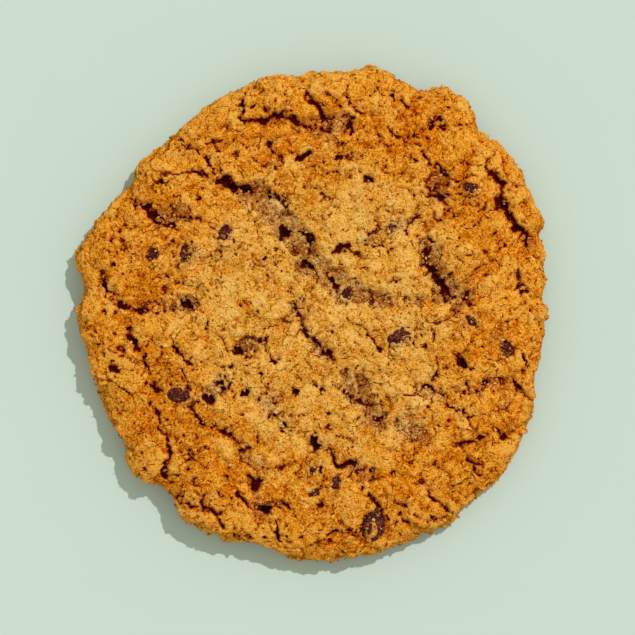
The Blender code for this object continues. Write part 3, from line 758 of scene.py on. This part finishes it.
def flake_mesh(random, length, width, thick):
    """(points, faces) of a rolled oat: a curled oval leaf with a crease along it and a ragged edge."""
    shares = (0.35, 0.7, 0.92, 1.0, 0.92, 0.7, 0.35)
    sides = (1, 1, 1, 0, -1, -1, -1)
    around = 18
    turns = directions_of(around)
    ragged = 1 + 0.1 * np.sin(3 * turns + random.uniform(0, 6)) + random.normal(0, 0.035, around)
    curl = random.uniform(-0.12, 0.12)
    rings = []
    for share, side in zip(shares, sides):
        x = length / 2 * share * ragged * np.cos(turns)
        y = width / 2 * share * ragged * np.sin(turns)
        crease = 0.5 * thick * np.exp(-((y / (0.12 * width)) ** 2)) * (side > 0)
        z = side * thick / 2 * math.sqrt(1.05 - share**2) - crease + curl * y * y
        rings.append(np.stack([x, y, z], axis=1))
    points = np.concatenate([[[0, 0, 0.1 * thick]], *rings, [[0, 0, -thick / 2]]])
    return points, np.concatenate(joined_rings([1] + [around] * len(rings) + [1]))


def surface_of(pieces):
    """Where crumbs can stick to these pieces: their points and normals, with nothing baked."""
    vertices = [vertex for piece in pieces for vertex in piece.data.vertices]
    points = np.array([vertex.co for vertex in vertices]) / MM
    normals = np.array([vertex.normal for vertex in vertices])
    return {"points": points, "normals": normals, "baked": np.zeros(len(points))}


def make_flakes(skin, likely, count, material):
    """Oat flakes that stand out of the crust at a slant."""
    random = np.random.default_rng(23)
    spots = random.choice(len(likely), count, p=likely / likely.sum())
    points, faces = [], []
    for spot in spots:
        length = random.uniform(2.4, 4.2)
        width = length * random.uniform(0.6, 0.8)
        shape, joined = flake_mesh(random, length, width, random.uniform(0.35, 0.55))
        up = skin["normals"][spot] + random.normal(0, 0.15, 3)
        pose = Vector((0, 0, 1)).rotation_difference(Vector(up)).to_matrix()
        spin = Matrix.Rotation(random.uniform(0, math.tau), 3, "Z")
        sunk = random.uniform(-0.3, 0.05) - 0.1 * skin["rim"][spot]
        place = skin["points"][spot] + skin["normals"][spot] * sunk
        faces.append(joined + sum(len(some) for some in points))
        shape = shape @ np.array(pose @ spin).T + place
        points.append(swayed(shape, 1.2, 0.16, 110))
    masks = {"oat": random.random(count), "baked": skin["baked"][spots]}
    masks = {name: np.repeat(values, len(points[0])) for name, values in masks.items()}
    points = np.concatenate(points)
    points[:, 2] = np.maximum(points[:, 2], LOWEST_CRUMB)
    piece = add_mesh("oat_flakes", points, np.concatenate(faces), material, masks)
    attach(piece, "root")


# ---- making objects


def add_object(name, data):
    made = bpy.data.objects.new(name, data)
    bpy.context.scene.collection.objects.link(made)
    return made


def add_mesh(name, points, faces, material, masks=None, uv=None):
    """A new object from arrays, with each mask as an attribute of its points."""
    mesh = bpy.data.meshes.new(name)
    mesh.vertices.add(len(points))
    mesh.vertices.foreach_set("co", (points * MM).astype(np.float32).ravel())
    mesh.loops.add(faces.size)
    mesh.loops.foreach_set("vertex_index", faces.astype(np.int32).ravel())
    mesh.polygons.add(len(faces))
    mesh.polygons.foreach_set("loop_start", np.arange(0, faces.size, faces.shape[1], dtype=np.int32))
    mesh.update(calc_edges=True)
    for mask, values in (masks or {}).items():
        layer = mesh.attributes.new(mask, "FLOAT", "POINT")
        layer.data.foreach_set("value", values.astype(np.float32))
    if uv is not None:
        layer = mesh.uv_layers.new(name="OFBake")
        layer.data.foreach_set("uv", uv.astype(np.float32).ravel())
    mesh.materials.append(material)
    mesh.shade_smooth()
    return add_object(name, mesh)


def skin_map(skin):
    """Flat places for the skin's faces: top and side as one disc, with the smaller underside beside it."""
    ways = np.stack([np.cos(skin["turn"]), np.sin(skin["turn"])], axis=1)
    flat = skin["travelled"][:, None] * ways
    upper = skin["faces"][: skin["upper_faces"]]
    lower = skin["faces"][skin["upper_faces"] :]
    half = np.abs(flat[upper]).max() + 1
    edge = np.linalg.norm(skin["points"][:, :2], axis=1)[:, None] * ways * (-1, 1) / 2
    small = np.abs(edge[lower]).max() + 1
    width = 2 * (half + small)
    above = (flat[upper] + half) / width
    below = (edge[lower] + (2 * half + small, small)) / width
    return np.concatenate([above, below]).reshape(-1, 2)


# ---- materials


def colour(red, green, blue):
    """A colour given as it looks on screen, from 0 to 255, as the linear one that shaders take."""
    shares = [level / 255 for level in (red, green, blue)]
    return (*(x / 12.92 if x < 0.04 else ((x + 0.055) / 1.055) ** 2.4 for x in shares), 1)


class Shading:
    """The nodes of one material, made by short calls that each return a socket."""

    def __init__(self, name, roughness, shine):
        self.material = bpy.data.materials.new(name)
        self.material.use_nodes = True
        self.nodes = self.material.node_tree.nodes
        self.links = self.material.node_tree.links
        self.shader = self.nodes["Principled BSDF"]
        self.shader.inputs["Roughness"].default_value = roughness
        self.shader.inputs["Specular IOR Level"].default_value = shine
        scaled = {0: self.node("ShaderNodeTexCoord").outputs["Object"], "Scale": 1 / MM}
        self.place = self.node("ShaderNodeVectorMath", scaled, operation="SCALE").outputs[0]

    def put(self, value, socket):
        """Joins a socket to another, or sets a plain value on it."""
        if isinstance(value, bpy.types.NodeSocket):
            self.links.new(value, socket)
        else:
            socket.default_value = value

    def node(self, kind, inputs=None, **settings):
        """A new node with these settings, and with these sockets or values put on its inputs."""
        made = self.nodes.new(kind)
        for name, value in settings.items():
            setattr(made, name, value)
        for name, value in (inputs or {}).items():
            self.put(value, made.inputs[name])
        return made

    def sum(self, *terms):
        """The sum of (value, factor) pairs."""
        total = 0.0
        for value, factor in terms:
            inputs = {0: value, 1: factor, 2: total}
            total = self.node("ShaderNodeMath", inputs, operation="MULTIPLY_ADD").outputs[0]
        return total

    def product(self, a, b):
        return self.node("ShaderNodeMath", {0: a, 1: b}, operation="MULTIPLY").outputs[0]

    def noise(self, size, detail=2.0, roughness=0.5, output="Fac"):
        """Cloudy noise from 0 to 1, with lumps of about this size."""
        inputs = {"Vector": self.place, "Scale": 1 / size, "Detail": detail, "Roughness": roughness}
        return self.node("ShaderNodeTexNoise", inputs).outputs[output]

    def shifted(self, size, sway):
        """Places pushed about by noise, so that a pattern looked up there comes out irregular."""
        inputs = {0: self.noise(size, 5, 0.65, "Color"), 1: (sway, sway, sway), 2: self.place}
        return self.node("ShaderNodeVectorMath", inputs, operation="MULTIPLY_ADD").outputs[0]

    def cells(self, size, sway, feature):
        """A pattern of irregular grains of this size."""
        inputs = {"Scale": 1 / size, "Vector": self.shifted(size, sway)}
        return self.node("ShaderNodeTexVoronoi", inputs, feature=feature).outputs

    def grains(self, size, sway):
        """(distance from each grain's middle, each grain's own number)."""
        outputs = self.cells(size, sway, "F1")
        return outputs["Distance"], self.node("ShaderNodeSeparateColor", {0: outputs["Color"]}).outputs[0]

    def edges(self, size, sway):
        """The distance from the edges between the grains."""
        return self.cells(size, sway, "DISTANCE_TO_EDGE")["Distance"]

    def mask(self, name):
        return self.node("ShaderNodeAttribute", attribute_name=name).outputs["Fac"]

    def ramp(self, value, low, high, bottom=0.0, top=1.0):
        """The value brought from low..high to bottom..top, and held there outside them."""
        inputs = {"Value": value, "From Min": low, "From Max": high, "To Min": bottom, "To Max": top}
        return self.node("ShaderNodeMapRange", inputs, interpolation_type="SMOOTHSTEP").outputs["Result"]

    def blend(self, share, a, b):
        return self.node("ShaderNodeMix", {0: share, 6: a, 7: b}, data_type="RGBA").outputs[2]

    def tones(self, value, *stops):
        """The colour at this value on a scale of (position, colour) stops."""
        node = self.node("ShaderNodeValToRGB", {0: value})
        scale = node.color_ramp.elements
        while len(scale) < len(stops):
            scale.new(1.0)
        for mark, (position, shade) in zip(scale, stops):
            mark.position = position
            mark.color = shade
        return node.outputs[0]

    def bump(self, height):
        """Relief that only shading shows, with its height in millimetres."""
        node = self.node("ShaderNodeBump", {"Distance": MM, "Height": height})
        self.links.new(node.outputs["Normal"], self.shader.inputs["Normal"])


def palette(*stops):
    """Colours at their positions on a scale, from stops of (position, red, green, blue)."""
    return [(position, colour(*levels)) for position, *levels in stops]


# The crust from its darkest to its palest: in the middle, where it is baked more, and where it is torn open.
# The darkest tones mostly serve as painted shade in cracks, holes and pits.
BAKED = palette(
    (0, 76, 8, 0), (0.2, 136, 38, 0), (0.42, 182, 98, 6), (0.6, 208, 138, 37), (0.8, 224, 160, 57),
    (1, 238, 184, 96),
)  # fmt: skip
TOASTED = palette(
    (0, 76, 6, 0), (0.2, 138, 40, 0), (0.42, 172, 70, 0), (0.6, 202, 106, 0), (0.8, 220, 134, 12),
    (1, 237, 169, 68),
)  # fmt: skip
OPENED = palette(
    (0, 72, 10, 4), (0.2, 124, 44, 6), (0.45, 164, 98, 34), (0.7, 202, 143, 68), (1, 230, 186, 118),
)  # fmt: skip


def crust_material():
    """Golden crust that browns towards the rim, is paler where torn, and has hairline cracks, with painted
    shade in its cracks, pits, crevices and hollows and painted light on its tips.
    """
    s = Shading("baked crust", 0.85, 0.03)
    fine, fine_number = s.grains(0.36, 0.22)
    coarse, coarse_number = s.grains(1.0, 0.6)
    flake_number = s.grains(2.6, 1.3)[1]
    cloud = s.noise(5.5, 3, 0.6)
    grain = s.noise(0.6, 4, 0.7)
    # Tiny pits: dented in the bump, and darkened in the colour as painted shadow in them.
    shaded_pit = s.ramp(s.noise(0.45, 3, 0.65), 0.38, 0.33)
    hairline = s.product(s.ramp(s.edges(3.6, 3.0), 0.036, 0.012), s.ramp(s.noise(1.7, 3, 0.7), 0.5, 0.6))
    torn = s.product(s.mask("torn"), s.ramp(s.noise(4.0, 3, 0.6), 0.4, 0.6))
    tone = s.sum(
        (fine_number, 0.3),
        (s.noise(0.26, 2, 0.7), 1.0),
        (coarse_number, 0.08),
        (flake_number, 0.1),
        (cloud, 0.4),
        (s.mask("plate"), 0.16),
        (grain, 0.2),
        # Painted shade in the crevices between grains.
        (s.ramp(fine, 0.45, 0.8), -0.25),
        (s.ramp(coarse, 0.55, 0.9), -0.12),
        (shaded_pit, -0.75),
        (hairline, -0.65),
        (s.mask("rough"), -0.16),
        (torn, -0.26),
        (s.mask("stain"), -0.06),
        # Painted shade in hollows and painted light on tips, by how far a point lies below or above its
        # smoothed surroundings.
        (s.ramp(s.mask("cavity"), 0.04, 0.6), -0.5),
        (s.ramp(s.mask("cavity"), -0.08, -0.4), 0.12),
        (s.mask("oat"), 0.25),
        (s.mask("baked"), -0.08),
        (1.0, -0.09),
    )
    # The crust darkens with the depth of cracks, holes and pits as painted shade, and takes the inner crumb's
    # colours where it is torn open.
    opened_and_shaded = s.sum((s.mask("cut"), 1.2), (grain, 1.0), (1.0, -0.5))
    tone = s.sum((tone, 1.0), (s.ramp(opened_and_shaded, 0.0, 1.7), -0.65))
    blotch = s.sum((s.noise(3.6, 2, 0.6), 2.0), (s.noise(0.3, 2, 0.6), 0.4), (1.0, -0.98))
    toasted = s.sum((s.mask("baked"), 1.2), (blotch, 1.0))
    crust = s.blend(s.ramp(toasted, 0.0, 1.0), s.tones(tone, *BAKED), s.tones(tone, *TOASTED))
    soft = s.sum(
        (s.ramp(opened_and_shaded, 0.1, 0.5), 0.55),
        (s.mask("stain"), 0.75),
        (s.mask("torn"), 0.85),
        (s.mask("oat"), 0.25),
    )
    soft = s.product(soft, s.ramp(s.mask("baked"), 0.1, 0.7, 1.0, 0.35))
    s.put(s.blend(s.ramp(soft, 0.0, 1.0), crust, s.tones(tone, *OPENED)), s.shader.inputs["Base Color"])
    relief = s.sum(
        (fine, -0.18),
        (coarse, -0.18),
        (flake_number, 0.25),
        (shaded_pit, -0.2),
        (hairline, -0.3),
        (grain, 0.55),
    )
    s.bump(relief)
    return s.material


def crumb_material(name, stops, toasted):
    """Crumbs in these tones, and in the toasted ones where the crust is baked more."""
    s = Shading(name, 0.8, 0.2)
    tone = s.sum((s.mask("tone"), 0.5), (s.noise(0.4, 3, 0.7), 0.7))
    shade = s.blend(s.mask("baked"), s.tones(tone, *stops), s.tones(tone, *toasted))
    s.put(shade, s.shader.inputs["Base Color"])
    s.bump(s.sum((s.noise(0.2, 3, 0.7), 0.15)))
    return s.material


def raisin_material():
    """Dark, shiny skin, worn lighter in places and flecked with pale bloom and painted glints."""
    s = Shading("raisin skin", 0.3, 0.4)
    worn = s.noise(1.3, 3, 0.6)
    skin = s.tones(worn, *palette((0.3, 44, 0, 2), (0.55, 76, 4, 6), (0.75, 132, 52, 24)))
    # Pale flecks: partly bloom, partly painted glints.
    bloom_and_glint = s.ramp(s.noise(0.4, 2, 0.6), 0.6, 0.66)
    s.put(s.blend(bloom_and_glint, skin, colour(150, 106, 80)), s.shader.inputs["Base Color"])
    s.put(colour(255, 200, 180), s.shader.inputs["Specular Tint"])
    s.put(s.ramp(s.noise(0.8, 3), 0.4, 0.65, 0.15, 0.35), s.shader.inputs["Roughness"])
    s.bump(s.sum((s.noise(1.1, 3, 0.6), 1.4), (s.noise(0.3, 2, 0.6), 0.2)))
    return s.material


def floor_material():
    s = Shading("pale floor", 0.9, 0.1)
    tone = s.blend(s.noise(60, 2), colour(182, 197, 188), colour(180, 195, 185))
    s.put(tone, s.shader.inputs["Base Color"])
    return s.material


# ---- raisins


def unit_ball(around, rings):
    """Points of a ball of radius 1: a tip, rings with this many points, and the other tip, along X."""
    lean = np.pi * np.arange(1, rings) / rings
    lean, turn = (part.ravel() for part in np.meshgrid(lean, directions_of(around), indexing="ij"))
    ball = np.stack([-np.cos(lean), np.sin(lean) * np.cos(turn), np.sin(lean) * np.sin(turn)], axis=1)
    return np.concatenate([[[-1.0, 0, 0]], ball, [[1.0, 0, 0]]])


def wrinkled_raisin(node, number, material):
    """A raisin that fills its CAD node's shape, with folds along it."""
    corners = np.array([vertex.co for vertex in node.data.vertices]) / MM
    centre = (corners.max(axis=0) + corners.min(axis=0)) / 2
    offset = corners - centre
    _, _, axes = np.linalg.svd(offset, full_matrices=False)
    half = np.abs(offset @ axes.T).max(axis=0)
    ball = unit_ball(RAISIN_AROUND, RAISIN_RINGS)
    shifted = ball * (0.8, 1.6, 1.6) + number * 7.7
    folds = np.minimum(np.abs(soft_noise(shifted, 0.7, 60)), 0.5) - 0.3
    fine = np.minimum(np.abs(soft_noise(shifted, 0.35, 61)), 0.4) - 0.2
    ball = ball * (0.98 + 0.6 * folds + 0.35 * fine)[:, None]
    points = centre + (ball * half) @ axes
    faces = np.concatenate(joined_rings([1] + [RAISIN_AROUND] * (RAISIN_RINGS - 1) + [1]))
    if np.linalg.det(points[faces] - centre).sum() < 0:
        faces = faces[:, ::-1]
    piece = add_mesh(f"wrinkled_{node.name}", points, faces, material)
    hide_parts(node.name)
    return piece


# ---- stage, light and camera


def set_stage():
    """The floor that the cookie lies on."""
    corners = FLOOR_REACH * np.array([(-1, -1, 0), (1, -1, 0), (1, 1, 0), (-1, 1, 0)])
    floor = add_mesh("floor", corners, np.array([[0, 1, 2, 3]]), floor_material())


def set_light():
    """A crisp sun from the upper right, and a soft fill from all round."""
    sun = bpy.data.lights.new("key", "SUN")
    sun.energy = SUN_STRENGTH
    sun.angle = math.radians(SUN_WIDTH)
    sun.color = SUN_COLOUR
    lamp = add_object("key", sun)
    lamp.rotation_euler = (0, math.pi / 2 - math.radians(SUN_HEIGHT), math.radians(SUN_TURN))
    world = bpy.data.worlds.new("soft fill")
    world.use_nodes = True
    fill = world.node_tree.nodes["Background"]
    fill.inputs["Color"].default_value = FILL_COLOUR
    fill.inputs["Strength"].default_value = FILL_STRENGTH
    bpy.context.scene.world = world
    bpy.context.scene.view_settings.view_transform = "Standard"


def set_camera():
    """A long lens high above the middle, looking straight down."""
    camera = bpy.data.cameras.new("overhead")
    camera.lens = LENS
    camera.sensor_width = SENSOR
    distance = VIEW_WIDTH * LENS / SENSOR
    camera.clip_end = 10
    eye = add_object("overhead", camera)
    eye.location = Vector((*VIEW_CENTRE, VIEW_HEIGHT + distance)) * MM
    bpy.context.scene.camera = eye


def make_dough(skin, material):
    masks = {name: skin[name] for name in MASKS}
    dough = add_mesh("crusted_dough", skin["points"], skin["faces"], material, masks, skin_map(skin))
    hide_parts("dough")
    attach(dough, "root")


def scatter_on_dough(skin, crust, pale):
    """Golden crumbs in rough places, pale ones where the crust is broken, and oat flakes where it's whole."""
    above = ~skin["under"]
    shallow = above * ramp(skin["cut"], 0.9, 0.4)
    anywhere = shallow * (0.15 + 0.6 * skin["rough"] + 0.4 * skin["rim"])
    broken = shallow * (skin["torn"] + 0.3 * skin["rough"] + 0.3 * skin["stain"])
    whole = above * ramp(skin["cut"], 0.5, 0.1) * (1 - skin["stain"]) * (1 - skin["torn"])
    make_crumbs("crust_crumbs", skin, anywhere, CRUST_CRUMBS, crumb_material("crust crumb", BAKED, TOASTED))
    make_crumbs("inner_crumbs", skin, broken, INNER_CRUMBS, pale)
    make_flakes(skin, whole * (0.4 + 0.4 * skin["rim"]), LOOSE_FLAKES, crust)


def make_raisins(nodes, pale):
    """The raisins, with pale crumbs stuck to their upper sides."""
    material = raisin_material()
    raisins = [wrinkled_raisin(node, number, material) for number, node in enumerate(nodes)]
    for piece in raisins:
        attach(piece, "root")
    surface = surface_of(raisins)
    make_crumbs("raisin_crumbs", surface, ramp(surface["normals"][:, 2], 0.2, 0.8), RAISIN_CRUMBS, pale)


def main():
    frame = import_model()
    nodes = frame["nodes"]
    raisins = [nodes[name] for name in sorted(nodes) if name.startswith("raisin")]
    skin = roughened_skin(solid_tree(nodes["dough"]), solid_tree(*raisins))
    crust = crust_material()
    pale = crumb_material("inner crumb", OPENED, OPENED)
    make_dough(skin, crust)
    scatter_on_dough(skin, crust, pale)
    make_raisins(raisins, pale)
    set_stage()
    set_light()
    set_camera()


main()
